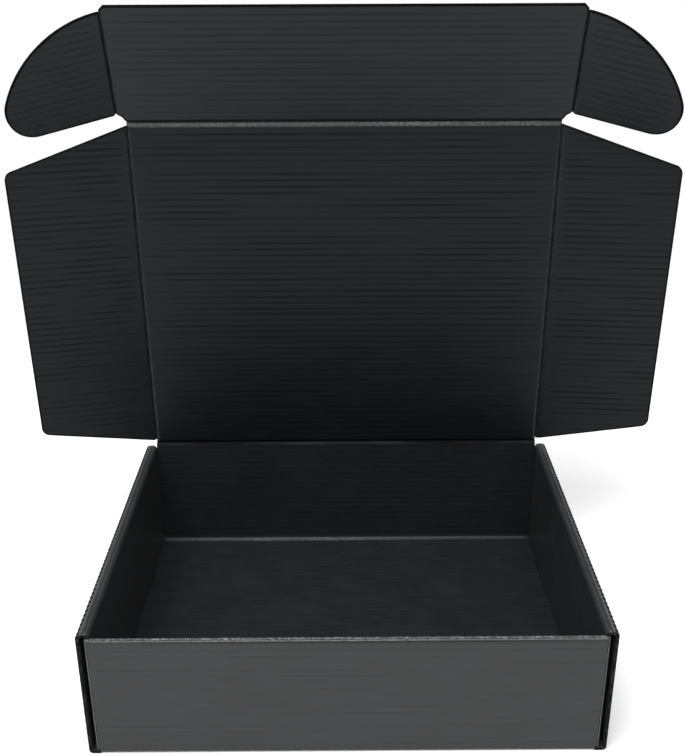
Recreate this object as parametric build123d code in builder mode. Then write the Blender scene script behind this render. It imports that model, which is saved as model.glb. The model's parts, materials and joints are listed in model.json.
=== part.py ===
from build123d import *
import os

os.makedirs("parts", exist_ok=True)

# Corrugated mailer box, cut and folded from one sheet of fine-fluted board.
# The base carries a front wall, a back wall and two rolled side walls.
# The lid hangs on the back wall. Its side flaps go inside the side walls.
# Its tuck flap goes down outside the front wall, and the tuck flap's ears
# swing into the slots between the front wall and the outer side walls.
# Origin: middle of the base at floor level. X is width, Y runs to the back.

# Board
board = 1.4  # thickness of the board
bend = 2.2  # outside radius of a folded edge
bulge = 2.6  # inside radius where a pressed fold swells into the box
gap = 0.1  # play left at the root of a crease that turns
shoulder = 1.2  # rounding where the pressed crease meets the inner face
cut_round = 0.5  # rounding that the cutting rule leaves on a cut edge

# Tray
width = 240.0  # over the side walls
depth = 188.5  # over the front and back walls
side_height = 66.3  # to the top of the rolled side walls
front_drop = 2.5  # from the side walls down to the cut edge of the front wall
lid_rise = 2.45  # height of the lid's crease above the side walls
roll = 6.1  # width of a rolled side wall
ear_slot = 1.8  # slot between the outer side wall and the corner flap
play = 0.2  # play between layers that slide
wall_end = 0.2  # the side walls stop this short of the front and back faces
inner_end = 0.7  # the inner side wall stops this short of front and back walls
corner_flap = 60.0  # length of the flaps that hide in the side walls
corner_cut = 9.0  # slanted corners of those flaps
floor_play = 0.15  # play under the inner side wall and under its tabs

# Locking tabs of the inner side walls, and the slots that they drop into
tab_length = 33.0
tab_from_end = 28.5
slot_play = 0.4

# Lid and flaps
lid_play = 0.25  # play between a side flap and the inner side wall
front_play = 0.4  # play between the tuck flap and the front wall
side_clear = 3.95  # a side flap stops this far above the floor
side_back_start = 1.7  # where the side flap's crease starts, from the hinge
side_back_corner = 13.0  # its outer back corner, from the hinge
side_front_start = 2.0  # where its crease ends, from the tuck crease
side_front_corner = 24.0  # its outer front corner, from the tuck crease
side_round = 4.8  # outer corners of a side flap
tuck_clear = 6.35  # the tuck flap stops this far above the floor
tuck_corner = 2.5  # slanted corner between the tuck flap and an ear
ear_foot = 4.25  # lower edge of an ear, from the tuck crease
ear_notch = 4.5  # round notch that ends the slit beside an ear
ear_radius = 59.2  # an ear is an arc about the end of the tuck crease
ear_round = 14.5  # its lower corner

# How the box stands: each angle is counted from the flat board
lid_open = 87.2  # from closed
tuck_fold = 18.1
ear_fold = 30.0
left_fold = 12.0
right_fold = 5.2

half = width / 2
front = -depth / 2
back = depth / 2
inner_half = half - roll
front_half = half - board - ear_slot
back_half = half - board - play
front_height = side_height - front_drop
hinge_height = side_height + lid_rise
lid_half = inner_half - lid_play
lid_length = depth + board + front_play
tuck_half = front_half + play + board
tuck_height = hinge_height - tuck_clear
side_reach = hinge_height - side_clear

# Planes of the lid and its flaps: the outer face lies in the plane, the
# inner face one board thickness above it, and y runs away from the crease.
lid_plane = Plane(
    origin=(0, back, hinge_height),
    x_dir=(1, 0, 0),
    z_dir=Vector(0, 0, -1).rotate(Axis.X, -lid_open),
)
tuck_plane = Plane(
    origin=lid_plane.from_local_coords((0, lid_length, 0)),
    x_dir=lid_plane.x_dir,
    z_dir=lid_plane.z_dir.rotate(Axis.X, tuck_fold),
)


def flap_plane(carrier, side, reach, fold):
    """Plane of a flap that hangs on the side of a panel at x = reach."""
    crease = Axis((0, 0, 0), carrier.y_dir)
    return Plane(
        origin=carrier.from_local_coords((side * reach, 0, 0)),
        x_dir=carrier.x_dir.rotate(crease, -side * fold),
        z_dir=carrier.z_dir.rotate(crease, -side * fold),
    )


left_plane = flap_plane(lid_plane, -1, lid_half, left_fold)
right_plane = flap_plane(lid_plane, 1, lid_half, right_fold)
ear_left_plane = flap_plane(tuck_plane, -1, tuck_half, ear_fold)
ear_right_plane = flap_plane(tuck_plane, 1, tuck_half, ear_fold)


def crease(panel, middle, inwards, length):
    """Bevel a panel's inner edge along a crease and round the shoulder."""
    section = Plane(
        origin=panel.from_local_coords(middle),
        x_dir=inwards,
        z_dir=inwards.cross(panel.z_dir),
    )
    with BuildSketch(section) as wedge:
        with BuildLine():
            Polyline(
                (gap, 0),
                (gap + 2 * board, 2 * board),
                (gap - 2 * board, 2 * board),
                (gap - 2 * board, 0),
                close=True,
            )
        make_face()
    extrude(wedge.sketch, amount=length / 2, both=True, mode=Mode.SUBTRACT)
    height = Axis(panel.origin, panel.z_dir)
    fillet(edges(Select.NEW).sort_by(height)[-1], radius=shoulder)


def board_section(outer_points, inner_points, inner_radius=bend - board):
    """Section of a folded board, from its outer and its inner line."""
    with BuildLine() as section:
        outer = FilletPolyline(*outer_points, radius=bend)
        inner = FilletPolyline(*inner_points, radius=inner_radius)
        Line(outer @ 0, inner @ 0)
        Line(outer @ 1, inner @ 1)
    make_face(section.edges())


def wall_section(face, inward, outer_top, inner_top):
    """Section of a front or back wall, with its swollen fold at the floor."""
    base_end = face + inward * 3 * bend
    inner_face = face + inward * board
    board_section(
        ((base_end, 0), (face, 0), (face, outer_top)),
        ((base_end, board), (inner_face, board), (inner_face, inner_top)),
        inner_radius=bulge,
    )


def corner_section(face, inward, reach):
    """Plan of the corner flaps that turn in from a front or back wall."""
    start = reach - 1.5 * bend
    inner_face = face + inward * board
    flap_end = face + inward * corner_flap
    board_section(
        ((start, face), (reach, face), (reach, flap_end)),
        (
            (start, inner_face),
            (reach - board, inner_face),
            (reach - board, flap_end),
        ),
    )
    mirror(about=Plane.YZ)


# Tray: base, walls, rolled sides, hidden corner flaps and tabs, in one piece
with BuildPart() as tray:
    # The side walls: up from the base, over the top and down to the floor
    with BuildSketch(Plane.XZ.offset(back - wall_end)):
        board_section(
            (
                (0, 0),
                (half, 0),
                (half, side_height),
                (inner_half, side_height),
                (inner_half, board + floor_play),
            ),
            (
                (0, board),
                (half - board, board),
                (half - board, side_height - board),
                (inner_half + board, side_height - board),
                (inner_half + board, board + floor_play),
            ),
        )
        mirror(about=Plane.YZ)
    extrude(amount=-(depth - 2 * wall_end))

    # The inner side walls stop short of the front and back walls
    with BuildSketch(Plane.XY.offset(board + floor_play / 2)):
        for y in (front, back):
            with Locations((0, y)):
                Rectangle(2 * (inner_half + board), 2 * (board + inner_end))
    extrude(amount=side_height - 2.5 * board, mode=Mode.SUBTRACT)

    # The base ends where the folds of the front and back walls begin
    with BuildSketch(Plane.XY):
        with Locations((0, front)):
            Rectangle(2 * (front_half - bend), 2 * bend)
        with Locations((0, back)):
            Rectangle(2 * (back_half - bend), 2 * bend)
    extrude(amount=board, mode=Mode.SUBTRACT)

    # Front wall
    with BuildSketch(Plane.YZ.offset(bend - front_half)):
        wall_section(front, 1, front_height, front_height)
    extrude(amount=2 * (front_half - bend))

    # Back wall, bevelled at its top for the lid's crease
    with BuildSketch(Plane.YZ.offset(-lid_half)):
        crease_height = hinge_height - gap
        wall_section(back, -1, crease_height, crease_height - board)
    extrude(amount=2 * lid_half)
    inner_crease = Vertex(0, back - board, crease_height - board)
    fillet(tray.edges().sort_by_distance(inner_crease)[0], radius=shoulder)

    # Ends of the back wall, which pass under the rolled sides
    under_roll = side_height - board - play
    with BuildSketch(Plane.YZ.offset(bend - back_half)):
        wall_section(back, -1, under_roll, under_roll)
    extrude(amount=2 * (back_half - bend))

    # Corner flaps of the front wall, inside the rolled sides
    with BuildSketch(Plane.XY.offset(bend)):
        corner_section(front, 1, front_half)
    extrude(amount=front_height - bend)

    # Corner flaps of the back wall
    with BuildSketch(Plane.XY.offset(bend)):
        corner_section(back, -1, back_half)
    extrude(amount=under_roll - bend)

    # Slots in the base, and the tabs that stand in them
    across = 2 * inner_half + board
    along = depth - 2 * tab_from_end - tab_length
    with BuildSketch(Plane.XY):
        with GridLocations(across, along, 2, 2):
            Rectangle(board + 2 * play, tab_length + 2 * slot_play)
    extrude(amount=board, mode=Mode.SUBTRACT)
    with BuildSketch(Plane.XY.offset(floor_play)):
        with GridLocations(across, along, 2, 2):
            Rectangle(board, tab_length)
    extrude(amount=board + bend)

    # Slanted corners at the free ends of the hidden corner flaps
    for reach, end, top in (
        (front_half, front + corner_flap, front_height),
        (back_half, back - corner_flap, under_roll),
    ):
        corners = [
            Vertex(side * (reach - board / 2), end, z)
            for side in (-1, 1)
            for z in (bend, top)
        ]
        ends = [tray.edges().sort_by_distance(corner)[0] for corner in corners]
        chamfer(ends, length=corner_cut)

    # Eased cut edge along the top of the front wall
    cut_edges = [
        tray.edges().sort_by_distance(Vertex(0, y, front_height))[0]
        for y in (front, front + board)
    ]
    fillet(cut_edges, radius=cut_round)
tray.part.label = "tray"

# Lid panel: every edge is a crease
with BuildPart() as lid:
    with BuildSketch(lid_plane):
        with Locations((0, lid_length / 2)):
            Rectangle(2 * (lid_half - gap), lid_length - 2 * gap)
    extrude(amount=board, taper=45)
    inner = lid.faces().sort_by(Axis(lid_plane.origin, lid_plane.z_dir))[-1]
    fillet(inner.edges(), radius=shoulder)
lid.part.label = "lid"


def mirrored(points, side):
    """Points of a right-hand outline, turned round for the left-hand one."""
    return [(side * x, y) for x, y in points]


def side_flap(panel, side):
    """Side flap of the lid, which goes down inside a side wall."""
    front_end = lid_length - side_front_start
    front_corner = lid_length - side_front_corner
    outline = (
        (gap, side_back_start),
        (side_reach, side_back_corner),
        (side_reach, front_corner),
        (gap, front_end),
    )
    with BuildSketch(panel) as flat:
        with BuildLine():
            Polyline(*mirrored(outline, side), close=True)
        make_face()
        outer = flat.vertices().sort_by(Axis.X)
        fillet(outer[-2:] if side > 0 else outer[:2], radius=side_round)
    extrude(flat.sketch, amount=board)
    crease(panel, (0, lid_length / 2, 0), panel.x_dir * side, lid_length)


with BuildPart() as side_flap_left:
    side_flap(left_plane, -1)
side_flap_left.part.label = "side_flap_left"

with BuildPart() as side_flap_right:
    side_flap(right_plane, 1)
side_flap_right.part.label = "side_flap_right"

# Tuck flap: round notches end the slits between the ears and the lid
with BuildPart() as tuck_flap:
    tuck_edge = tuck_half - gap
    notch_start = ear_notch / 2
    with BuildSketch(tuck_plane):
        with BuildLine():
            Polyline(
                (0, gap),
                (tuck_edge - notch_start, gap),
                (tuck_edge - notch_start, gap + notch_start),
                (tuck_edge, gap + notch_start),
                (tuck_edge, tuck_height - tuck_corner),
                (tuck_edge - tuck_corner, tuck_height),
                (0, tuck_height),
            )
            mirror(about=Plane.YZ)
        make_face()
    extrude(amount=board)
    crease(tuck_plane, (0, 0, 0), tuck_plane.y_dir, 2 * tuck_half)
    for side in (-1, 1):
        middle = (side * tuck_half, tuck_height / 2, 0)
        crease(tuck_plane, middle, tuck_plane.x_dir * -side, tuck_height)
    with BuildSketch(tuck_plane):
        with GridLocations(2 * tuck_edge, 0, 2, 1):
            Circle(ear_notch)
    extrude(amount=board, mode=Mode.SUBTRACT)
tuck_flap.part.label = "tuck_flap"


def ear(panel, side):
    """Ear of the tuck flap: an arc about the end of the tuck crease."""
    with BuildSketch(panel) as flat:
        Circle(ear_radius)
        with Locations((side * (gap + ear_radius / 2), ear_foot)):
            Rectangle(
                ear_radius,
                ear_radius,
                align=(Align.CENTER, Align.MIN),
                mode=Mode.INTERSECT,
            )
        outer = flat.vertices().sort_by(Axis.X)
        fillet(outer[-1] if side > 0 else outer[0], radius=ear_round)
    extrude(flat.sketch, amount=board)
    crease(panel, (0, ear_radius / 2, 0), panel.x_dir * side, ear_radius)


with BuildPart() as ear_left:
    ear(ear_left_plane, -1)
ear_left.part.label = "ear_left"

with BuildPart() as ear_right:
    ear(ear_right_plane, 1)
ear_right.part.label = "ear_right"

for piece in (
    tray, lid, side_flap_left, side_flap_right, tuck_flap, ear_left, ear_right
):
    export_step(piece.part, f"parts/{piece.part.label}.step")
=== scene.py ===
import json
import math
from typing import NamedTuple

import bpy
import numpy as np
from mathutils import Matrix, Vector


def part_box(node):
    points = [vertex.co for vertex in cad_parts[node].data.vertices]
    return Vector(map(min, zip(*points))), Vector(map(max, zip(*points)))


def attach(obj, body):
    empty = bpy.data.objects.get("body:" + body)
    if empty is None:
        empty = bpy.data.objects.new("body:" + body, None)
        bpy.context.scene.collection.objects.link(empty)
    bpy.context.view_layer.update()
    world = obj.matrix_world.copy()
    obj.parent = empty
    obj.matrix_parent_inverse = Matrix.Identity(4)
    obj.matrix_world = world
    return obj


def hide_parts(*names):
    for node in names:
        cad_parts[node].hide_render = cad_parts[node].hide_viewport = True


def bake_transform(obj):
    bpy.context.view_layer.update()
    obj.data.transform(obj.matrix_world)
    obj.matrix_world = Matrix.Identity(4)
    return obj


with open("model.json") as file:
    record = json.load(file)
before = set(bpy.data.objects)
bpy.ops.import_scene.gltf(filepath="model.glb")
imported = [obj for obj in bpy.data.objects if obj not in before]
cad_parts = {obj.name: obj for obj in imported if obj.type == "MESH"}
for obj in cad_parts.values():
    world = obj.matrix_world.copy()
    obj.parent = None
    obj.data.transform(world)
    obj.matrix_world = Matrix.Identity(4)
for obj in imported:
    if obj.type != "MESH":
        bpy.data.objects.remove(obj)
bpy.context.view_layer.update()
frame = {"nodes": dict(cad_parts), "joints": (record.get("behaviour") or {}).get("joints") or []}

bl_info = {
    "name": "Corrugated mailer box",
    "version": (1, 0, 0),
    "blender": (4, 5, 0),
    "location": "View3D > Sidebar > Mailer box",
    "description": "Builds the fluted board, creases and cut edges of a mailer box",
    "category": "Add Mesh",
}

MM = 0.001
JOINTS = {joint["name"]: joint for joint in frame["joints"]}
SIDES = (("left", -1), ("right", 1))
TINY = 1e-6


# Places of the folded panels at rest, from the joints of the frame. In each
# place the outer face lies at z = 0, the inner face one board up, and y leaves
# the crease.


def joint_point(name):
    return Vector(JOINTS[name]["pos_m"])


def place_of(origin, across, along):
    """Matrix of a panel from its crease's middle, its width and its length."""
    matrix = Matrix((across, along, across.cross(along))).transposed().to_4x4()
    matrix.translation = origin
    return matrix


def turned(place, joint, side):
    """Place of a flap that hangs on the side of a panel.

    Its joint lies flat at the upper limit, so that is how far it is folded.
    """
    fold = math.radians(JOINTS[joint]["range_deg"][1])
    along = place.col[1].to_3d()
    turn = Matrix.Rotation(-side * fold, 3, along)
    return place_of(joint_point(joint), turn @ place.col[0].to_3d(), along)


HINGE = joint_point("lid_hinge")
TUCK_CREASE = joint_point("tuck_fold")
LID_LENGTH = (TUCK_CREASE - HINGE).length
LID_HALF = abs(joint_point("side_flap_right_fold").x)
TUCK_HALF = abs(joint_point("ear_right_fold").x)
ACROSS = Vector((1, 0, 0))
LID_PLACE = place_of(HINGE, ACROSS, (TUCK_CREASE - HINGE).normalized())
TUCK_PLACE = place_of(TUCK_CREASE, ACROSS, Vector(JOINTS["ear_right_fold"]["axis"]))
_, TRAY_HIGH = (Vector(corner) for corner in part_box("tray"))

# Sizes of the tray that the frame doesn't give
FRONT_TOP = 63.8 * MM  # cut edge of the front wall
ROLL_TOP = 66.3 * MM  # top of the rolled side walls
ROLL_WIDTH = 6.1 * MM
ROLL_ROUND = 2.2 * MM  # outside radius of the roll
BOARD = 1.4 * MM  # thickness of the board
FOLD_INSIDE = 2.6 * MM  # radius where a pressed fold swells into the box
HINGE_BEVEL = 2.6 * MM  # the slope under the lid's hinge lies within this


# Settings that a user would change


class BoardSettings(bpy.types.PropertyGroup):
    thickness: bpy.props.FloatProperty(
        name="Board thickness", description="Thickness of the fluted board",
        default=BOARD, unit="LENGTH", precision=5,
    )
    liner: bpy.props.FloatProperty(
        name="Liner", description="Thickness of each flat paper of the board",
        default=0.22 * MM, unit="LENGTH", precision=5,
    )
    flute_pitch: bpy.props.FloatProperty(
        name="Flute pitch", description="Distance between two flutes",
        default=3.5 * MM, unit="LENGTH", precision=5,
    )
    washboard: bpy.props.FloatProperty(
        name="Washboard", description="How deep the liner dips between flutes",
        default=0.06 * MM, unit="LENGTH", precision=6,
    )


class ColourSettings(bpy.types.PropertyGroup):
    inside: bpy.props.FloatVectorProperty(
        name="Inside", description="Matte paper on the inner side",
        default=(0.0074, 0.0090, 0.0112), subtype="COLOR", min=0, max=1,
    )
    outside: bpy.props.FloatVectorProperty(
        name="Outside", description="Satin print on the outer side",
        default=(0.0335, 0.0350, 0.0370), subtype="COLOR", min=0, max=1,
    )
    core: bpy.props.FloatVectorProperty(
        name="Core", description="Dyed paper between the liners",
        default=(0.0034, 0.0037, 0.0042), subtype="COLOR", min=0, max=1,
    )
    fibre: bpy.props.FloatVectorProperty(
        name="Fibre", description="Torn paper at cut edges and worn folds",
        default=(0.34, 0.34, 0.34), subtype="COLOR", min=0, max=1,
    )
    floor: bpy.props.FloatVectorProperty(
        name="Floor", description="Pale floor under the box",
        default=(0.86, 0.86, 0.86), subtype="COLOR", min=0, max=1,
    )


class StageSettings(bpy.types.PropertyGroup):
    surround: bpy.props.FloatProperty(
        name="Surround light", description="Strength of the even studio light",
        default=0.6, min=0,
    )
    overhead: bpy.props.FloatProperty(
        name="Overhead light", description="Power of the large lamp above",
        default=10.0, min=0, unit="POWER",
    )
    focal_length: bpy.props.FloatProperty(
        name="Focal length", description="Lens that frames the box",
        default=50.26, min=1, unit="CAMERA",
    )


def settings():
    scene = bpy.context.scene
    return scene.mailer_board, scene.mailer_colours, scene.mailer_stage


# Materials

# Scale, detail and roughness of each noise
MOTTLE = (38.0, 4.0, 0.6)
STREAK = (420.0, 3.0, 0.6)
FINE = (2600.0, 2.0, 0.6)
SPECK = (900.0, 2.0, 0.5)
UNEVEN = (130.0, 3.0, 0.6)
RAGGED = (620.0, 4.0, 0.75)
PATCH = (130.0, 3.0, 0.6)
TORN = (900.0, 4.0, 0.75)
TORN_PATCH = (160.0, 3.0, 0.6)
CUT_GRAIN = (2200.0, 3.0, 0.7)

# How fibres and flute lines are drawn out along the flutes
FIBRES_DRAWN = (0.22, 1.0, 1.0)
LINES_DRAWN = (0.10, 1.0, 1.0)

TRAY_INSIDE = (0.0180, 0.0190, 0.0208)  # paler than the inside of the lid: the same paper, painted paler as painted light inside the tray


def new_material(name):
    material = bpy.data.materials.new(name)
    material.use_nodes = True
    material.node_tree.nodes.clear()
    return material


def tinted(colour, factor):
    return tuple(c * factor for c in colour)


class Nodes:
    """Short way to add and join the nodes of one material."""

    def __init__(self, material):
        self.tree = material.node_tree

    def add(self, kind, **values):
        node = self.tree.nodes.new(kind)
        for key, value in values.items():
            setattr(node, key, value)
        return node

    def join(self, source, node, socket):
        self.tree.links.new(source, node.inputs[socket])

    def math(self, operation, first, second=None, third=None):
        node = self.add("ShaderNodeMath", operation=operation)
        for index, value in enumerate((first, second, third)):
            if value is None:
                continue
            if isinstance(value, (int, float)):
                node.inputs[index].default_value = value
            else:
                self.join(value, node, index)
        return node.outputs[0]

    def noise(self, coordinates, scale, detail=3.0, roughness=0.5):
        node = self.add("ShaderNodeTexNoise")
        node.inputs["Scale"].default_value = scale
        node.inputs["Detail"].default_value = detail
        node.inputs["Roughness"].default_value = roughness
        self.join(coordinates, node, "Vector")
        return node.outputs["Fac"]

    def stretched(self, coordinates, scale):
        node = self.add("ShaderNodeMapping")
        node.inputs["Scale"].default_value = scale
        self.join(coordinates, node, "Vector")
        return node.outputs["Vector"]

    def band(self, value, middle, half):
        """1 at the middle of a band and 0 beyond its half width."""
        distance = self.math("ABSOLUTE", self.math("SUBTRACT", value, middle))
        return self.ramp(distance, half, 0.0)

    def ramp(self, value, low, high, start=0.0, end=1.0):
        node = self.add("ShaderNodeMapRange", interpolation_type="SMOOTHSTEP")
        for socket, number in (
            ("From Min", low), ("From Max", high), ("To Min", start), ("To Max", end)
        ):
            node.inputs[socket].default_value = number
        self.join(value, node, "Value")
        return node.outputs["Result"]

    def mix(self, share, first, second):
        """Colours mixed by a share. The node's colours are its inputs 6 and 7."""
        node = self.add("ShaderNodeMix", data_type="RGBA")
        for socket, value in ((0, share), (6, first), (7, second)):
            if isinstance(value, bpy.types.NodeSocket):
                self.join(value, node, socket)
            elif socket:
                node.inputs[socket].default_value = (*value, 1)
            else:
                node.inputs[socket].default_value = value
        return node.outputs[2]

    def mark(self, name):
        """A value that the points of a panel carry."""
        return self.add("ShaderNodeAttribute", attribute_name=name).outputs["Fac"]

    def bump(self, height, strength, distance, normal=None):
        node = self.add("ShaderNodeBump")
        node.inputs["Strength"].default_value = strength
        node.inputs["Distance"].default_value = distance
        self.join(height, node, "Height")
        if normal is not None:
            self.join(normal, node, "Normal")
        return node.outputs["Normal"]


def board_shader(name, specular):
    """A new material: its nodes, its shader and the place on the object."""
    n = Nodes(new_material(name))
    out = n.add("ShaderNodeOutputMaterial")
    shader = n.add("ShaderNodeBsdfPrincipled")
    n.join(shader.outputs[0], out, "Surface")
    shader.inputs["Specular IOR Level"].default_value = specular
    return n, shader, n.add("ShaderNodeTexCoord").outputs["Object"]


def paper_material(name, colour, roughness, specular, wear_and_highlight_share, tray_lines=None):
    """Printed paper: mottled colour, fine fibre, flute lines in painted shade, pale folds of
    scuffing and painted highlight.

    A panel's points carry its painted shade, and its scuffing and painted
    highlight. On the tray nodes work them out, and tray_lines is how strong its
    lines are.
    """
    board, colours, _ = settings()
    fibre = tuple(colours.fibre)
    n, shader, place = board_shader(name, specular)

    drawn = n.stretched(place, FIBRES_DRAWN)
    mottle = n.noise(place, *MOTTLE)
    streak = n.noise(drawn, *STREAK)
    tone = n.math(
        "ADD", n.math("MULTIPLY", mottle, 0.5), n.math("MULTIPLY", streak, 0.5)
    )
    base = n.mix(n.ramp(tone, 0.34, 0.66), tinted(colour, 0.86), tinted(colour, 1.16))
    speck = n.ramp(n.noise(place, *SPECK), 0.75, 0.80)
    base = n.mix(n.math("MULTIPLY", speck, 0.08), base, fibre)

    if tray_lines:
        height, shade, wear_and_highlight = tray_masks(n, board, tray_lines)
    else:
        shade, wear_and_highlight = n.mark("shade"), n.mark("wear_and_highlight")
    uneven = n.noise(n.stretched(place, LINES_DRAWN), *UNEVEN)
    shade = n.math("MULTIPLY", shade, n.ramp(uneven, 0.36, 0.64, 0.25, 1.0))
    # Painted shade: flute valleys, crease grooves, roll hollows and the hinge slope darkened,
    # and darker paper by cut edges
    base = n.mix(n.math("MULTIPLY", shade, 0.85), base, tinted(colour, 0.2))

    # Pale marks: scuffing with torn fibre, and painted highlight on creases, folds, ridges and
    # the front cut edge
    ragged = n.ramp(n.noise(place, *RAGGED), 0.40, 0.60)
    patch = n.ramp(n.noise(drawn, *PATCH), 0.38, 0.62, 0.35, 1.0)
    ragged = n.math("MULTIPLY_ADD", n.math("MULTIPLY", ragged, patch), 0.65, 0.35)
    pale_wear_and_highlight = n.math("MULTIPLY", wear_and_highlight, ragged)
    base = n.mix(n.math("MULTIPLY", pale_wear_and_highlight, wear_and_highlight_share), base, fibre)
    n.join(base, shader, "Base Color")

    rough = n.ramp(tone, 0.3, 0.7, roughness - 0.05, roughness + 0.06)
    rough = n.math("MULTIPLY_ADD", n.math("MAXIMUM", shade, pale_wear_and_highlight), 0.4, rough)
    n.join(rough, shader, "Roughness")

    fine = n.noise(place, *FINE)
    grain = n.math("ADD", fine, n.math("MULTIPLY", streak, 0.8))
    grain = n.math("MULTIPLY_ADD", pale_wear_and_highlight, 2.0, grain)
    normal = n.bump(grain, strength=0.35, distance=0.04 * MM)
    if tray_lines:
        depth = board.washboard * min(tray_lines * 1.5, 1)
        normal = n.bump(height, 1.0, depth, normal)
    n.join(normal, shader, "Normal")


def tray_masks(n, board, lines):
    """Washboard height, painted shade, and pale torn fibre and painted highlight of the tray.

    The flutes run along X, so they follow one another up the front and back
    walls, and from front to back on its other faces.
    """
    coordinates = n.add("ShaderNodeTexCoord")
    split = n.add("ShaderNodeSeparateXYZ")
    n.join(coordinates.outputs["Object"], split, "Vector")
    facing = n.add("ShaderNodeSeparateXYZ")
    n.join(coordinates.outputs["Normal"], facing, "Vector")
    across = n.math("ABSOLUTE", split.outputs["X"])
    back, up = split.outputs["Y"], split.outputs["Z"]
    front = n.math("ABSOLUTE", facing.outputs["Y"])
    turn = 2 * math.pi / board.flute_pitch
    upright = n.math("COSINE", n.math("MULTIPLY", up, turn))
    lying = n.math("COSINE", n.math("MULTIPLY", back, turn))
    is_front = n.ramp(front, 0.90, 0.99)
    is_side = n.ramp(front, 0.10, 0.01)
    height = n.math(
        "ADD", n.math("MULTIPLY", upright, is_front), n.math("MULTIPLY", lying, is_side)
    )
    # Painted shade in the valleys between flutes
    valley = n.ramp(height, 0.2, -1.0, 0.0, lines)

    # The crushed cut edge of the front wall, pale with torn fibre and a painted highlight, and a
    # line of painted shade under it
    at_front = n.ramp(back, -91.5 * MM, -92.5 * MM)
    on_front = n.math("MULTIPLY", is_front, at_front)
    edge = n.ramp(up, FRONT_TOP - 1.2 * MM, FRONT_TOP - 0.8 * MM)
    edge = n.math("MULTIPLY", edge, on_front)
    under = n.band(up, FRONT_TOP - 1.7 * MM, 0.7 * MM)
    under = n.math("MULTIPLY", under, on_front)

    # A painted highlight on the upright folds of the front wall
    corner = n.band(across, TRAY_HIGH.x - 4.0 * MM, 0.55 * MM)
    corner = n.math("MULTIPLY", corner, at_front)
    corner = n.math("MULTIPLY", corner, n.ramp(up, 1.0 * MM, 2.0 * MM))

    # Painted shade on the rolled tops of the side walls, and on the slope under the lid's hinge
    rolled = n.math(
        "MULTIPLY", n.ramp(across, TRAY_HIGH.x - 7 * MM, TRAY_HIGH.x - 6 * MM),
        n.ramp(up, 62.5 * MM, 65.5 * MM),
    )
    hinge = n.math(
        "MULTIPLY", n.ramp(up, HINGE.z - HINGE_BEVEL, HINGE.z - 1.6 * MM),
        n.ramp(back, 90.0 * MM, 91.5 * MM),
    )
    shade = n.math(
        "MAXIMUM", n.math("MAXIMUM", valley, under),
        n.math("MAXIMUM", n.math("MULTIPLY", rolled, 0.5), hinge),
    )
    # Pale marks: torn fibre and painted highlight at the front cut edge, painted highlight on
    # the upright folds
    wear_and_highlight = n.math("MAXIMUM", edge, n.math("MULTIPLY", corner, 0.8))
    return height, shade, wear_and_highlight


def cut_material(name, colour, pale_share, specular):
    """A cut edge: dark dyed paper with torn pale fibres."""
    _, colours, _ = settings()
    n, shader, place = board_shader(name, specular)
    shader.inputs["Roughness"].default_value = 0.9
    torn = n.ramp(n.noise(place, *TORN), 0.48, 0.58)
    patch = n.ramp(n.noise(place, *TORN_PATCH), 0.40, 0.62)
    share = n.math("MULTIPLY", torn, n.math("MULTIPLY_ADD", patch, 0.6, 0.4))
    share = n.math("MULTIPLY", share, pale_share)
    n.join(n.mix(share, colour, tuple(colours.fibre)), shader, "Base Color")
    normal = n.bump(n.noise(place, *CUT_GRAIN), strength=0.8, distance=0.08 * MM)
    n.join(normal, shader, "Normal")


def board_materials(inner="Inner paper"):
    """Inner paper, outer paper and core, made once and then shared."""
    if "Inner paper" not in bpy.data.materials:
        _, colours, _ = settings()
        inside, outside, core = (
            tuple(colours.inside), tuple(colours.outside), tuple(colours.core)
        )
        paper_material(
            "Inner paper", inside, roughness=0.42, specular=0.26, wear_and_highlight_share=0.6
        )
        # A copy of the inner paper painted lighter, as painted light on the tuck flap and the
        # ears
        paper_material(
            "Inner paper painted lighter", tinted(inside, 1.7),
            roughness=0.40, specular=0.34, wear_and_highlight_share=0.6,
        )
        paper_material(
            "Outer paper", outside, roughness=0.42, specular=0.50, wear_and_highlight_share=0.35
        )
        cut_material("Cut core", core, pale_share=0.04, specular=0.06)
        paper_material(
            "Tray inner paper", TRAY_INSIDE,
            roughness=0.55, specular=0.20, wear_and_highlight_share=0.5, tray_lines=0.3,
        )
        paper_material(
            "Tray outer paper", outside,
            roughness=0.42, specular=0.50, wear_and_highlight_share=1.0, tray_lines=0.2,
        )
        cut_material("Tray cut edge", core, pale_share=0.2, specular=0.06)
        # The crushed front edge: torn pale fibre, made paler still as a painted highlight
        cut_material("Ragged edge with painted highlight", tinted(outside, 2.2), pale_share=1.0, specular=0.2)
    return [bpy.data.materials[name] for name in (inner, "Outer paper", "Cut core")]


INNER, OUTER, CORE = range(3)


# Panels of fluted board


def outer_outline(node, place):
    """Edges round the outer face of a panel of the frame, in its own place."""
    on_face = 1e-5
    mesh = frame["nodes"][node].data
    local = place.inverted()
    flat = [local @ vertex.co for vertex in mesh.vertices]
    uses = {}
    for polygon in mesh.polygons:
        corners = [flat[i] for i in polygon.vertices]
        if any(abs(corner.z) > on_face for corner in corners):
            continue
        ring = [(round(c.x, 7), round(c.y, 7)) for c in corners]
        for a, b in zip(ring, ring[1:] + ring[:1]):
            edge = (a, b) if a < b else (b, a)
            uses[edge] = uses.get(edge, 0) + 1
    return np.array([edge for edge, count in uses.items() if count == 1])


def spans(edges, rows):
    """Left and right end of an outline at each row."""
    low = np.minimum(edges[:, 0, 1], edges[:, 1, 1])
    high = np.maximum(edges[:, 0, 1], edges[:, 1, 1])
    sloped = high - low > 1e-9
    left, right = [], []
    for y in rows:
        crossed = edges[(low <= y) & (high >= y) & sloped]
        (x0, y0), (x1, y1) = crossed[:, 0].T, crossed[:, 1].T
        x = x0 + (x1 - x0) * (y - y0) / (y1 - y0)
        left.append(x.min())
        right.append(x.max())
    return np.array(left), np.array(right)


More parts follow.
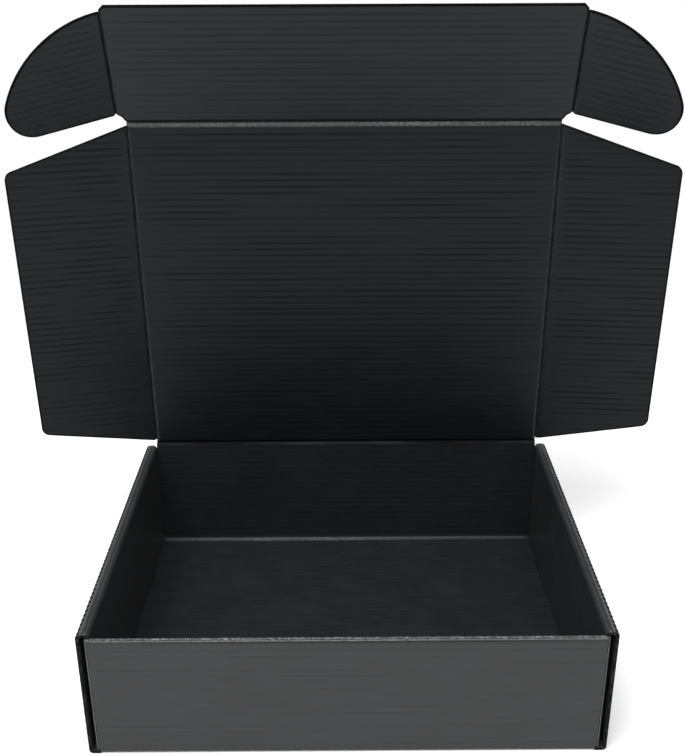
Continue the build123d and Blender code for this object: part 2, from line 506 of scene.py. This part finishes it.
def crease_bevel(distance, thickness, radius):
    """Height of the inner face at a distance from a crease: slope, round, flat."""
    tangent = radius * math.tan(math.pi / 8)
    start = thickness - tangent * math.sqrt(0.5)
    end = thickness + tangent
    round_part = thickness - radius + np.sqrt(
        np.maximum(radius**2 - (distance - end) ** 2, 0)
    )
    height = np.where(distance < start, distance, round_part)
    return np.clip(np.where(distance > end, thickness, height), 0, thickness)


def smooth_step(value, low, high):
    t = np.clip((value - low) / (high - low), 0, 1)
    return t * t * (3 - 2 * t)


class Sheets:
    """Collects thin sheets of paper and makes one mesh of them."""

    def __init__(self):
        self.points, self.faces, self.slots = [], [], []
        self.marks = {"wear_and_highlight": [], "shade": []}
        self.count = 0

    def _grid(self, grid, marks):
        shape = grid.shape[:2]
        size = shape[0] * shape[1]
        start = self.count
        self.points.append(grid.reshape(-1, 3))
        for name, values in zip(("wear_and_highlight", "shade"), marks):
            self.marks[name].append(np.broadcast_to(values, shape).reshape(-1))
        self.count += size
        return start + np.arange(size).reshape(shape)

    def _quads(self, index, flip, slot):
        a, b = index[:-1, :-1], index[:-1, 1:]
        c, d = index[1:, 1:], index[1:, :-1]
        quads = np.stack([a, b, c, d] if not flip else [d, c, b, a], axis=-1)
        self.faces.append(quads.reshape(-1, 4))
        self.slots.append(np.broadcast_to(slot, a.shape).reshape(-1))

    def sheet(self, x, y, low, high, slots, wear_and_highlight=0.0, shade=0.0):
        """A flat sheet between two heights, closed all round its rim."""
        bottom, top = (np.stack([x, y, z], axis=-1) for z in (low, high))
        self.slab(bottom, top, slots, wear_and_highlight, shade)

    def slab(self, bottom, top, slots, wear_and_highlight=0.0, shade=0.0):
        """A sheet between two grids of points, rows running along its length.

        The slots are the materials of its bottom, its top and its rim.
        """
        low_slot, high_slot, rim_slot = slots
        below, above = (self._grid(grid, (wear_and_highlight, shade)) for grid in (bottom, top))
        self._quads(below, True, low_slot)
        self._quads(above, False, high_slot)
        self._quads(np.stack([below[0], above[0]]), False, rim_slot)
        self._quads(np.stack([below[-1], above[-1]]), True, rim_slot)
        self._quads(np.stack([below[:, 0], above[:, 0]]), True, rim_slot)
        self._quads(np.stack([below[:, -1], above[:, -1]]), False, rim_slot)

    def make(self, name, place, materials):
        points = np.concatenate(self.points)
        mesh = bpy.data.meshes.new(name)
        mesh.from_pydata(points.tolist(), [], np.concatenate(self.faces).tolist())
        mesh.polygons.foreach_set("material_index", np.concatenate(self.slots))
        for mark, values in self.marks.items():
            layer = mesh.attributes.new(mark, "FLOAT", "POINT")
            layer.data.foreach_set("value", np.concatenate(values).astype(np.float32))
        for material in materials:
            mesh.materials.append(material)
        mesh.transform(place)
        mesh.polygons.foreach_set("use_smooth", np.ones(len(mesh.polygons), bool))
        mesh.set_sharp_from_angle(angle=math.radians(50))
        mesh.update()
        piece = bpy.data.objects.new(name, mesh)
        bpy.context.collection.objects.link(piece)
        return piece


class Pressed(NamedTuple):
    """Marks that a crease leaves on its panel."""

    wear_and_highlight: float  # how pale its edge is painted, from 0 to 1: scuffing, with painted highlight on the lid's front crease
    reach: float = 1.8 * MM  # how far the wear reaches
    groove: float = 0.5 * MM  # width of its dark line, painted shade in the groove
    rounding: float = 1.2 * MM  # where its slope meets the inner face


class Panel:
    """A flat panel of board: two liners, and the fluted paper between them.

    creases gives the marks of each folded edge, out of start, end, left and
    right. An edge that isn't there is cut, and its paper is darker. lines is how
    strong the flutes show, in the washboard and in the painted shade along them.
    """

    near_crease = np.array([0, 0.35, 0.7, 0.95, 1.2, 1.45, 1.7, 2.0, 2.4, 3.0]) * MM
    near_cut = np.array([0, 0.25, 0.5, 0.9, 2.0]) * MM
    middle_columns = 14
    rows_per_flute = 10
    least_step = 0.02 * MM
    dark_rim = 0.8 * MM
    on_crease = 0.3 * MM  # an edge of the outline this near a crease lies on it

    # Distances from a crease over which the scuffing and painted highlight, and the washboard,
    # set in
    wear_and_highlight_starts = (0.1 * MM, 0.7 * MM)
    washboard_starts = (1.6 * MM, 5.0 * MM)

    wavy_paper = 0.16 * MM
    wavy_rows_per_flute = 12
    wavy_columns = 6

    def __init__(self, node, place, creases, seed, paper="Inner paper", lines=1.0):
        self.board, _, _ = settings()
        self.paper, self.lines = paper, lines
        self.node, self.place = node, place
        self.creases = creases
        self.random = np.random.default_rng(seed)
        self.edges = outer_outline(node, place)

    def offsets(self, edge):
        return self.near_crease if edge in self.creases else self.near_cut

    def rows(self, step):
        """Rows across the flutes, with extra ones where the outline turns."""
        corners = np.unique(self.edges[..., 1].round(6))
        low, high = corners[0] + TINY, corners[-1] - TINY
        rows = np.unique(np.concatenate([
            np.arange(low, high, step), corners[1:-1], [high],
            low + self.offsets("start"), high - self.offsets("end"),
        ]))
        rows = rows[(rows >= low) & (rows <= high)]
        keep = np.concatenate([[True], np.diff(rows) > self.least_step])
        keep[-1] = True
        return rows[keep]

    def columns(self, left, right):
        """Points of each row, set closer beside its ends."""
        head, tail = self.offsets("left"), self.offsets("right")[::-1]
        width = (right - left)[:, None]
        inner = np.maximum(width - head[-1] - tail[0], 0)
        share = np.linspace(0, 1, self.middle_columns + 2)[1:-1]
        middle = left[:, None] + head[-1] + inner * share
        x = np.concatenate(
            [left[:, None] + head, middle, right[:, None] - tail], axis=1
        )
        x = np.clip(x, left[:, None], right[:, None])
        return np.maximum.accumulate(x, axis=1)

    def crease_distances(self, x, y, left, right):
        """How far each point lies from each crease of the panel."""
        distances = {
            "start": y - y[0, 0] + TINY, "end": y[-1, 0] - y + TINY,
            "left": x - left.min(), "right": right.max() - x,
        }
        return {edge: distances[edge] for edge in distances if edge in self.creases}

    def cut_distance(self, x, y):
        """How far each point lies from the nearest cut edge."""
        low, high = self.edges.min(axis=(0, 1)), self.edges.max(axis=(0, 1))
        folded = np.zeros(len(self.edges), bool)
        for edge, axis, line in (
            ("left", 0, low[0]), ("right", 0, high[0]),
            ("start", 1, low[1]), ("end", 1, high[1]),
        ):
            if edge in self.creases:
                close = np.abs(self.edges[..., axis] - line) < self.on_crease
                folded |= close.all(axis=1)
        nearest = np.full(x.shape, 1.0)
        for (x0, y0), (x1, y1) in self.edges[~folded]:
            run, rise = x1 - x0, y1 - y0
            along = ((x - x0) * run + (y - y0) * rise) / max(run**2 + rise**2, 1e-12)
            along = np.clip(along, 0, 1)
            gap = np.hypot(x - x0 - along * run, y - y0 - along * rise)
            nearest = np.minimum(nearest, gap)
        return nearest

    def build(self):
        board = self.board
        pitch, liner = board.flute_pitch, board.liner
        dip = board.washboard * self.lines
        rows = self.rows(pitch / self.rows_per_flute)
        left, right = spans(self.edges, rows)
        x = self.columns(left, right)
        y = np.broadcast_to(rows[:, None], x.shape)
        valley = (1 - np.cos(2 * math.pi * y / pitch)) / 2
        inner = np.full(x.shape, board.thickness)
        wear_and_highlight, groove, fade = np.zeros(x.shape), np.zeros(x.shape), np.ones(x.shape)
        rim = self.cut_distance(x, y)
        cut = np.exp(-((rim / self.dark_rim) ** 2))
        for edge, distance in self.crease_distances(x, y, left, right).items():
            marks = self.creases[edge]
            bevel = crease_bevel(distance, board.thickness, marks.rounding)
            inner = np.minimum(inner, bevel)
            rub_and_highlight = smooth_step(distance, *self.wear_and_highlight_starts)
            past = smooth_step(distance, marks.reach * 0.7, marks.reach)
            rub_and_highlight = rub_and_highlight * (1 - past)
            wear_and_highlight = np.maximum(wear_and_highlight, marks.wear_and_highlight * rub_and_highlight)
            groove = np.maximum(groove, np.exp(-((distance / marks.groove) ** 2)))
            fade = fade * smooth_step(distance, *self.washboard_starts)
        inner = inner - dip * fade * valley**2
        outer = dip * fade * (1 - valley) ** 2
        under = np.maximum(inner - liner, 0)
        over = np.minimum(outer + liner, inner)
        dark = np.maximum(cut, groove)
        middle = (rim[:-1, :-1] + rim[1:, :-1] + rim[:-1, 1:] + rim[1:, 1:]) / 4
        inner_slots = np.where(middle < self.dark_rim, CORE, INNER)
        sheets = Sheets()
        # Painted shade along the flutes and in crease grooves, darker paper by cut edges, and
        # pale scuffing and painted highlight beside creases
        sheets.sheet(
            x, y, outer, over, (OUTER, CORE, CORE), 0.4 * wear_and_highlight,
            np.maximum(0.5 * cut, 0.3 * fade * (1 - valley) ** 4),
        )
        sheets.sheet(
            x, y, under, inner, (CORE, inner_slots, CORE), wear_and_highlight,
            np.maximum(dark, self.lines * fade * valley**4),
        )
        if len(self.creases) < 4:
            self.flutes(sheets)
        materials = board_materials(self.paper)
        return sheets.make(self.node + "_board", self.place, materials)

    def flutes(self, sheets):
        """The wavy paper, cut a little short of the liners at a free edge."""
        board, paper = self.board, self.wavy_paper
        pitch = board.flute_pitch
        low, high = self.edges[..., 1].min(), self.edges[..., 1].max()
        low += (2.5 if "start" in self.creases else 0.15) * MM
        high -= (2.5 if "end" in self.creases else 0.12) * MM
        rows = np.arange(low, high, pitch / self.wavy_rows_per_flute)
        left, right = spans(self.edges, rows)
        torn = self.random.random((2, len(rows) + 8))
        torn = np.array([np.convolve(t, np.ones(5) / 5, "valid") for t in torn])
        torn = (0.05 + 0.30 * torn[:, : len(rows)]) * MM
        left += 2.6 * MM if "left" in self.creases else torn[0]
        right -= 2.6 * MM if "right" in self.creases else torn[1]
        wide = right - left > 0.5 * MM
        rows, left, right = rows[wide], left[wide], right[wide]
        x = np.linspace(left, right, self.wavy_columns, axis=1)
        y = np.broadcast_to(rows[:, None], x.shape)
        swing = (board.thickness - 2 * board.liner - paper) / 2
        middle = board.thickness / 2 + swing * np.cos(2 * math.pi * y / pitch)
        sheets.sheet(x, y, middle - paper / 2, middle + paper / 2, (CORE, CORE, CORE))


class Crease:
    """Paper that runs through a fold and joins two panels."""

    # Across the fold: its points, how far in its two faces lie, how dark it is painted as shade
    # in the groove
    across = np.array([-0.45, -0.3, -0.12, 0.0, 0.12, 0.3, 0.45]) * MM
    inner = np.array([0.33, 0.28, 0.24, 0.23, 0.24, 0.28, 0.33]) * MM
    outer = np.array([0.03, 0.02, 0.0, 0.0, 0.0, 0.02, 0.03]) * MM
    groove = np.array([0.6, 0.9, 1, 1, 1, 0.9, 0.6])
    step = 1.5 * MM

    def __init__(self, start, end, parent_side, child_side, seed):
        """start and end of the fold; each side is (away from the fold, inwards)."""
        self.start, self.end = start, end
        self.parent_side, self.child_side = parent_side, child_side
        self.random = np.random.default_rng(seed)

    def build(self, name, parent, child):
        count = max(int((self.end - self.start).length / self.step), 8)
        sheets = Sheets()
        share = np.linspace(0, 1, count)[:, None, None]
        line = np.array(self.start) * (1 - share) + np.array(self.end) * share
        (back, up), (ahead, rise) = self.parent_side, self.child_side
        middle = (up + rise).normalized()
        out, height = [], []
        for reach in self.across:
            towards = back if reach < 0 else ahead
            out.append(np.array(towards) * abs(reach))
            height.append(np.array(up if reach < 0 else middle if reach == 0 else rise))
        out, height = np.array(out)[None], np.array(height)[None]
        uneven = 1 + 0.25 * (self.random.random((count, 1, 1)) - 0.5)
        top = line + out + height * self.inner[None, :, None] * uneven
        bottom = line + out + height * self.outer[None, :, None]
        sheets.slab(bottom, top, (OUTER, INNER, CORE), 0.0, self.groove[None])
        piece = sheets.make(name, Matrix.Identity(4), board_materials())
        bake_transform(piece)


def panel_side(place, direction):
    """Away from a fold and inwards, for a panel that leaves it in a direction."""
    turn = place.to_3x3()
    away, inwards = turn @ Vector(direction), turn @ Vector((0, 0, 1))
    return away.normalized(), inwards.normalized()


def finish_panel(panel, body):
    piece = panel.build()
    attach(piece, body)
    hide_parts(panel.node)


class MAILER_OT_lid(bpy.types.Operator):
    """Lid panel, pressed along all four creases"""

    bl_idname = "mailer.lid"
    bl_label = "Lid"

    def execute(self, context):
        creases = {
            # A wide line of painted shade at the hinge
            "start": Pressed(wear_and_highlight=0.0, groove=1.7 * MM),
            # Pale front crease: scuffing with torn fibre, and painted highlight on its rounded
            # shoulder
            "end": Pressed(wear_and_highlight=0.75, reach=3.1 * MM, rounding=2.4 * MM),
            "left": Pressed(wear_and_highlight=0.25), "right": Pressed(wear_and_highlight=0.25),
        }
        finish_panel(Panel("lid", LID_PLACE, creases, 1), "lid")
        return {"FINISHED"}


class MAILER_OT_side_flaps(bpy.types.Operator):
    """Side flaps of the lid, with open flutes at their cut edges"""

    bl_idname = "mailer.side_flaps"
    bl_label = "Side flaps"

    def execute(self, context):
        for seed, (word, side) in enumerate(SIDES, 2):
            name = f"side_flap_{word}"
            place = turned(LID_PLACE, name + "_fold", side)
            creases = {"left" if side > 0 else "right": Pressed(wear_and_highlight=0.15)}
            finish_panel(Panel(name, place, creases, seed), name)
        return {"FINISHED"}


class MAILER_OT_tuck_flap(bpy.types.Operator):
    """Tuck flap on the lid's front crease"""

    bl_idname = "mailer.tuck_flap"
    bl_label = "Tuck flap"

    def execute(self, context):
        creases = {
            # Painted shade in the groove of the tuck crease
            "start": Pressed(wear_and_highlight=0.0, groove=1.0 * MM),
            "left": Pressed(wear_and_highlight=0.15), "right": Pressed(wear_and_highlight=0.15),
        }
        panel = Panel("tuck_flap", TUCK_PLACE, creases, 4, "Inner paper painted lighter", 0.6)
        finish_panel(panel, "tuck_flap")
        return {"FINISHED"}


class MAILER_OT_ears(bpy.types.Operator):
    """Rounded ears at the ends of the tuck flap"""

    bl_idname = "mailer.ears"
    bl_label = "Ears"

    def execute(self, context):
        for seed, (word, side) in enumerate(SIDES, 5):
            name = f"ear_{word}"
            place = turned(TUCK_PLACE, name + "_fold", side)
            creases = {"left" if side > 0 else "right": Pressed(wear_and_highlight=0.2)}
            panel = Panel(name, place, creases, seed, "Inner paper painted lighter", 0.6)
            finish_panel(panel, name)
        return {"FINISHED"}


class MAILER_OT_creases(bpy.types.Operator):
    """Pressed folds that hold the lid, its flaps and the ears together"""

    bl_idname = "mailer.creases"
    bl_label = "Creases"

    end_gap = 0.2 * MM
    side_end = 2.1 * MM
    notch = 4.6 * MM
    near_fold = 0.5 * MM

    def execute(self, context):
        wall = (Vector((0, 0, -1)), Vector((0, -1, 0)))
        reach = (LID_HALF - self.end_gap) * ACROSS
        Crease(
            HINGE - reach, HINGE + reach, wall, panel_side(LID_PLACE, (0, 1, 0)), 11
        ).build("hinge_crease", "tray", "lid")
        Crease(
            TUCK_CREASE - reach, TUCK_CREASE + reach,
            panel_side(LID_PLACE, (0, -1, 0)), panel_side(TUCK_PLACE, (0, 1, 0)), 12,
        ).build("tuck_crease", "lid", "tuck_flap")
        for seed, (word, side) in enumerate(SIDES, 13):
            self.side_crease(
                f"side_flap_{word}", "lid", LID_PLACE, side, LID_HALF,
                (self.side_end, LID_LENGTH - self.side_end), seed,
            )
            self.side_crease(
                f"ear_{word}", "tuck_flap", TUCK_PLACE, side, TUCK_HALF,
                (self.notch, self.ear_end(word, side)), seed + 2,
            )
        return {"FINISHED"}

    def ear_end(self, word, side):
        """How far an ear reaches along its crease."""
        place = turned(TUCK_PLACE, f"ear_{word}_fold", side)
        edges = outer_outline(f"ear_{word}", place)
        near = edges[np.abs(edges[..., 0]).max(axis=1) < self.near_fold]
        return near[..., 1].max() - 0.3 * MM

    def side_crease(self, name, parent, place, side, reach, ends, seed):
        start, end = (place @ Vector((side * reach, y, 0)) for y in ends)
        flap = turned(place, name + "_fold", side)
        sides = panel_side(place, (-side, 0, 0)), panel_side(flap, (side, 0, 0))
        Crease(start, end, *sides, seed).build(name + "_crease", parent, name)


class MAILER_OT_tray(bpy.types.Operator):
    """Paper finish of the folded tray: print outside, matte paper inside"""

    bl_idname = "mailer.tray"
    bl_label = "Tray"

    margin = 0.05 * MM  # a face this near the inner side of a roll belongs to it

    def execute(self, context):
        board_materials()
        mesh = frame["nodes"]["tray"].data
        mesh.materials.clear()
        for name in ("Tray inner paper", "Tray outer paper", "Tray cut edge"):
            mesh.materials.append(bpy.data.materials[name])
        for face in mesh.polygons:
            face.material_index = self.side_of_board(face.center, face.normal)
        return {"FINISHED"}

    def side_of_board(self, place, normal):
        """Which layer of the board shows on a face of the tray."""
        x, y, z = abs(place.x), abs(place.y), place.z
        reach, depth = TRAY_HIGH.x, TRAY_HIGH.y
        inside_rolls = reach - ROLL_WIDTH - self.margin

        # Cut ends of the rolled side walls
        at_ends = depth - 2.6 * MM < y < depth - 0.1 * MM
        if abs(normal.y) > 0.9 and x > inside_rolls and at_ends:
            return CORE
        # Cut edge of the front wall
        if y > depth - 1.6 * MM and place.y < 0 and z > FRONT_TOP - 0.45 * MM:
            return CORE
        # Slots of the base that take the locking tabs
        in_base = z < 1.35 * MM and abs(normal.z) < 0.3 and y < depth - 3 * MM
        if in_base and x < reach - 3 * MM:
            return CORE
        # Slope under the lid's hinge
        if place.y > 0 and z > HINGE.z - HINGE_BEVEL and normal.y < 0 < normal.z:
            return INNER
        within = x < inside_rolls and y < depth - 1.2 * MM
        return INNER if within and z > 1.2 * MM else OUTER


class MAILER_OT_worn_edges(bpy.types.Operator):
    """Crushed cut edge in front, painted highlight in the fold at the back, ridged tops of the
    rolls with painted highlight and shade
    """

    bl_idname = "mailer.worn_edges"
    bl_label = "Worn edges and painted light"

    # Profile of the cut edge: back from the outer face, and up from FRONT_TOP
    cut_edge = np.array([
        (0.05, -0.15), (0.12, 0.02), (0.35, 0.13), (0.7, 0.17), (1.05, 0.13),
        (1.28, 0.02), (1.35, -0.15),
    ]) * MM
    outer_arc = np.radians([6, 16, 28, 40, 52, 64, 78, 90])
    inner_arc = np.radians([102, 116, 132, 150])
    ridge = 0.2 * MM
    sunk = -0.03 * MM  # the rim of a strip lies this far under the board's face

    def execute(self, context):
        corners = np.array([v.co for v in frame["nodes"]["tray"].data.vertices])
        self.front_edge()
        self.back_fold_highlight()
        high = corners[corners[:, 2] > ROLL_TOP - 0.05 * MM]
        for seed, (word, side) in enumerate(SIDES, 23):
            here = high[high[:, 0] * side > 0, 1]
            self.roll_top(f"roll_top_{word}", side, here.min(), here.max(), seed)
        return {"FINISHED"}

    def front_edge(self):
        """Crushed board along the cut edge of the front wall: torn fibre and a painted
        highlight.
        """
        reach = TRAY_HIGH.x - ROLL_WIDTH + 2.2 * MM
        random = np.random.default_rng(21)
        x = np.arange(-reach, reach, 0.5 * MM)
        shift = random.normal(0, 0.07 * MM, (2, len(x), len(self.cut_edge)))
        shift[:, :, [0, -1]] = 0
        y = -TRAY_HIGH.y + self.cut_edge[:, 0] + 0.4 * shift[0]
        z = FRONT_TOP + self.cut_edge[:, 1] + shift[1]
        top = np.stack([np.broadcast_to(x[:, None], y.shape), y, z], axis=-1)
        self.make("front_cut_edge", top - [0, 0, 0.25 * MM], top, CORE, "Ragged edge with painted highlight")

    def back_fold_highlight(self):
        """Painted highlight in the hollow of the fold between floor and back wall."""
        reach = TRAY_HIGH.x - ROLL_WIDTH - 1.5 * MM
        random = np.random.default_rng(22)
        x = np.arange(-reach, reach, 0.6 * MM)[:, None]
        angle = np.radians(np.linspace(2, 58, 8))[None]
        lift = 0.06 * MM + random.normal(0, 0.03 * MM, (x.size, angle.size))
        lift[:, [0, -1]] = self.sunk
        middle_y = TRAY_HIGH.y - BOARD - FOLD_INSIDE
        middle_z = BOARD + FOLD_INSIDE
        grids = []
        for inset in (0.2 * MM, 0.0):
            radius = FOLD_INSIDE - lift + inset
            grids.append(np.stack([
                np.broadcast_to(x, lift.shape), middle_y + radius * np.sin(angle),
                middle_z - radius * np.cos(angle),
            ], axis=-1))
        faded = np.clip(1.15 - np.abs(x / reach + 0.25), 0.25, 1)
        self.make("back_fold_highlight", *grids, INNER, "Cut core", wear_and_highlight=0.55 * faded)

    def roll_top(self, name, side, low, high, seed):
        """Liner stretched over a roll: the flutes stand out along its outer edge, with painted
        highlight and shade.
        """
        board, _, _ = settings()
        random = np.random.default_rng(seed)
        step = board.flute_pitch / 8
        y = np.arange(low + 0.2 * MM, high - 0.1 * MM, step)[:, None]
        angle = np.concatenate([self.outer_arc, self.inner_arc])[None]
        middle = np.where(
            angle <= math.pi / 2 + TINY, TRAY_HIGH.x - ROLL_ROUND,
            TRAY_HIGH.x - ROLL_WIDTH + ROLL_ROUND,
        )
        # The flutes stand out on the lower part of the arc, clear of the flaps
        shoulder = np.sin(3 * np.clip(angle, 0, math.pi / 3) + TINY).clip(0) ** 0.7
        crest = (1 + np.cos(2 * math.pi * y / board.flute_pitch)) / 2
        uneven = 0.6 + 0.4 * random.random((y.size, 1))
        lift = 0.012 * MM + self.ridge * shoulder * crest * uneven
        lift[:, [0, -1]] = self.sunk
        grids = []
        for inset in (0.25 * MM, 0.0):
            radius = ROLL_ROUND + lift - inset
            across = side * (middle + radius * np.cos(angle))
            up = ROLL_TOP - ROLL_ROUND + radius * np.sin(angle)
            along = np.broadcast_to(y, lift.shape)
            grids.append(np.stack([across, along, up], axis=-1))
        # Painted highlight on the ridge and the crests, with some scuffing on the ridge; painted
        # shade in the hollows and on the inner side, and the hollows take the dark core paper as
        # painted shade
        rub_and_highlight = np.exp(-(((np.degrees(angle) - 82) / 24) ** 2))
        wear_and_highlight = np.maximum(0.9 * rub_and_highlight, 0.6 * shoulder * crest)
        shade = np.maximum(shoulder * (1 - crest) ** 0.7, 0.5 * (angle > 1.9))
        hollow = (crest < 0.55) & (np.degrees(angle) < 66)
        slots = np.where(hollow[:-1, :-1], CORE, OUTER)
        if side < 0:
            grids = [grid[::-1] for grid in grids]
            wear_and_highlight, shade, slots = wear_and_highlight[::-1], shade[::-1], slots[::-1]
        self.make(name, *grids, slots, "Cut core", wear_and_highlight, shade)

    def make(self, name, bottom, top, slot, third, wear_and_highlight=0.0, shade=0.0):
        """Ride a thin strip of paper on the tray."""
        sheets = Sheets()
        sheets.slab(bottom, top, (OUTER, slot, OUTER), wear_and_highlight, shade)
        papers = [bpy.data.materials[m] for m in ("Inner paper", "Outer paper", third)]
        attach(sheets.make(name, Matrix.Identity(4), papers), "tray")


class MAILER_OT_stage(bpy.types.Operator):
    """Pale floor, soft studio light and the camera"""

    bl_idname = "mailer.stage"
    bl_label = "Stage"

    camera_place = Vector((-0.0006, -0.47677, 0.34796))
    camera_turn = (66.1705, 0.2096, -0.2989)
    lens_shift = (-0.00765, 0.02854)
    floor_reach = 12.0
    floor_seen = (1.4, 1.4, 1.4)  # bright enough to show as white to the camera
    lamp_place = (-0.16, -0.38, 1.12)
    lamp_aim = (0, 0, 0.1)
    lamp_size = (0.9, 0.8)

    def execute(self, context):
        _, colours, stage = settings()
        self.add_floor(tuple(colours.floor))
        self.add_world(stage.surround)
        self.add_lamp(stage.overhead)
        self.add_camera(stage.focal_length)
        context.scene.view_settings.view_transform = "Standard"
        return {"FINISHED"}

    def add_floor(self, colour):
        """Floor that keeps the shadow, and turns to plain white further out."""
        reach = self.floor_reach
        mesh = bpy.data.meshes.new("Floor")
        corners = [
            (-reach, -reach, 0), (reach, -reach, 0),
            (reach, reach, 0), (-reach, reach, 0),
        ]
        mesh.from_pydata(corners, [], [(0, 1, 2, 3)])
        floor = bpy.data.objects.new("Floor", mesh)
        bpy.context.collection.objects.link(floor)
        material = new_material("Floor paint")
        n = Nodes(material)
        out = n.add("ShaderNodeOutputMaterial")
        paint = n.add("ShaderNodeBsdfDiffuse")
        rays = n.add("ShaderNodeLightPath")
        place = n.add("ShaderNodeTexCoord").outputs["Object"]
        tint = n.noise(place, 6.0, 2.0)
        plain = n.mix(tint, colour, tinted(colour, 1.02))
        bright = n.mix(rays.outputs["Is Glossy Ray"], plain, (1.0, 1.0, 1.0))
        seen = n.mix(rays.outputs["Is Camera Ray"], bright, self.floor_seen)
        n.join(seen, paint, "Color")
        glow = n.add("ShaderNodeEmission")
        blend = n.add("ShaderNodeMixShader")
        distance = n.add("ShaderNodeVectorMath", operation="LENGTH")
        n.join(place, distance, 0)
        far = n.ramp(distance.outputs["Value"], 0.35, 0.6)
        n.join(n.math("MULTIPLY", far, rays.outputs["Is Camera Ray"]), blend, 0)
        n.join(paint.outputs[0], blend, 1)
        n.join(glow.outputs[0], blend, 2)
        n.join(blend.outputs[0], out, "Surface")
        mesh.materials.append(material)

    def add_world(self, strength):
        """Even light, brighter from above than from the sides."""
        world = bpy.data.worlds.new("Studio")
        bpy.context.scene.world = world
        world.use_nodes = True
        world.node_tree.nodes.clear()
        n = Nodes(world)
        out = n.add("ShaderNodeOutputWorld")
        light = n.add("ShaderNodeBackground")
        n.join(light.outputs[0], out, "Surface")
        light.inputs["Color"].default_value = (1, 1, 1, 1)
        facing = n.add("ShaderNodeSeparateXYZ")
        n.join(n.add("ShaderNodeTexCoord").outputs["Generated"], facing, "Vector")
        height = n.ramp(facing.outputs["Z"], 0.0, 0.7, 0.25 * strength, strength)
        seen = n.add("ShaderNodeLightPath").outputs["Is Camera Ray"]
        shown = n.add("ShaderNodeMix", data_type="FLOAT")
        n.join(seen, shown, 0)
        n.join(height, shown, 2)
        shown.inputs[3].default_value = 1.0
        n.join(shown.outputs[0], light, "Strength")

    def add_lamp(self, power):
        data = bpy.data.lights.new("Overhead lamp", "AREA")
        data.shape, (data.size, data.size_y) = "RECTANGLE", self.lamp_size
        data.energy = power
        lamp = bpy.data.objects.new("Overhead lamp", data)
        bpy.context.collection.objects.link(lamp)
        lamp.location = self.lamp_place
        aim = Vector(self.lamp_aim) - lamp.location
        lamp.rotation_euler = aim.to_track_quat("-Z", "Y").to_euler()

    def add_camera(self, lens):
        data = bpy.data.cameras.new("Camera")
        data.lens, data.sensor_width = lens, 36.0
        data.shift_x, data.shift_y = self.lens_shift
        camera = bpy.data.objects.new("Camera", data)
        bpy.context.collection.objects.link(camera)
        camera.location = self.camera_place
        camera.rotation_euler = [math.radians(a) for a in self.camera_turn]
        bpy.context.scene.camera = camera


class MAILER_PT_build(bpy.types.Panel):
    """Buttons and settings of the mailer box"""

    bl_label = "Mailer box"
    bl_idname = "MAILER_PT_build"
    bl_space_type = "VIEW_3D"
    bl_region_type = "UI"
    bl_category = "Mailer box"

    def draw(self, context):
        scene = context.scene
        for group in (scene.mailer_board, scene.mailer_colours, scene.mailer_stage):
            for name in group.bl_rna.properties.keys():
                if name not in ("rna_type", "name"):
                    self.layout.prop(group, name)
        for operator in OPERATORS:
            self.layout.operator(operator.bl_idname)


OPERATORS = (
    MAILER_OT_stage,
    MAILER_OT_tray,
    MAILER_OT_lid,
    MAILER_OT_side_flaps,
    MAILER_OT_tuck_flap,
    MAILER_OT_ears,
    MAILER_OT_creases,
    MAILER_OT_worn_edges,
)
CLASSES = (BoardSettings, ColourSettings, StageSettings, *OPERATORS, MAILER_PT_build)


def register():
    for item in CLASSES:
        bpy.utils.register_class(item)
    scene = bpy.types.Scene
    scene.mailer_board = bpy.props.PointerProperty(type=BoardSettings)
    scene.mailer_colours = bpy.props.PointerProperty(type=ColourSettings)
    scene.mailer_stage = bpy.props.PointerProperty(type=StageSettings)


def unregister():
    for name in ("mailer_board", "mailer_colours", "mailer_stage"):
        delattr(bpy.types.Scene, name)
    for item in reversed(CLASSES):
        bpy.utils.unregister_class(item)


def main():
    register()
    bpy.ops.mailer.stage()
    bpy.ops.mailer.tray()
    bpy.ops.mailer.lid()
    bpy.ops.mailer.side_flaps()
    bpy.ops.mailer.tuck_flap()
    bpy.ops.mailer.ears()
    bpy.ops.mailer.creases()
    bpy.ops.mailer.worn_edges()


if __name__ == "__main__":
    main()
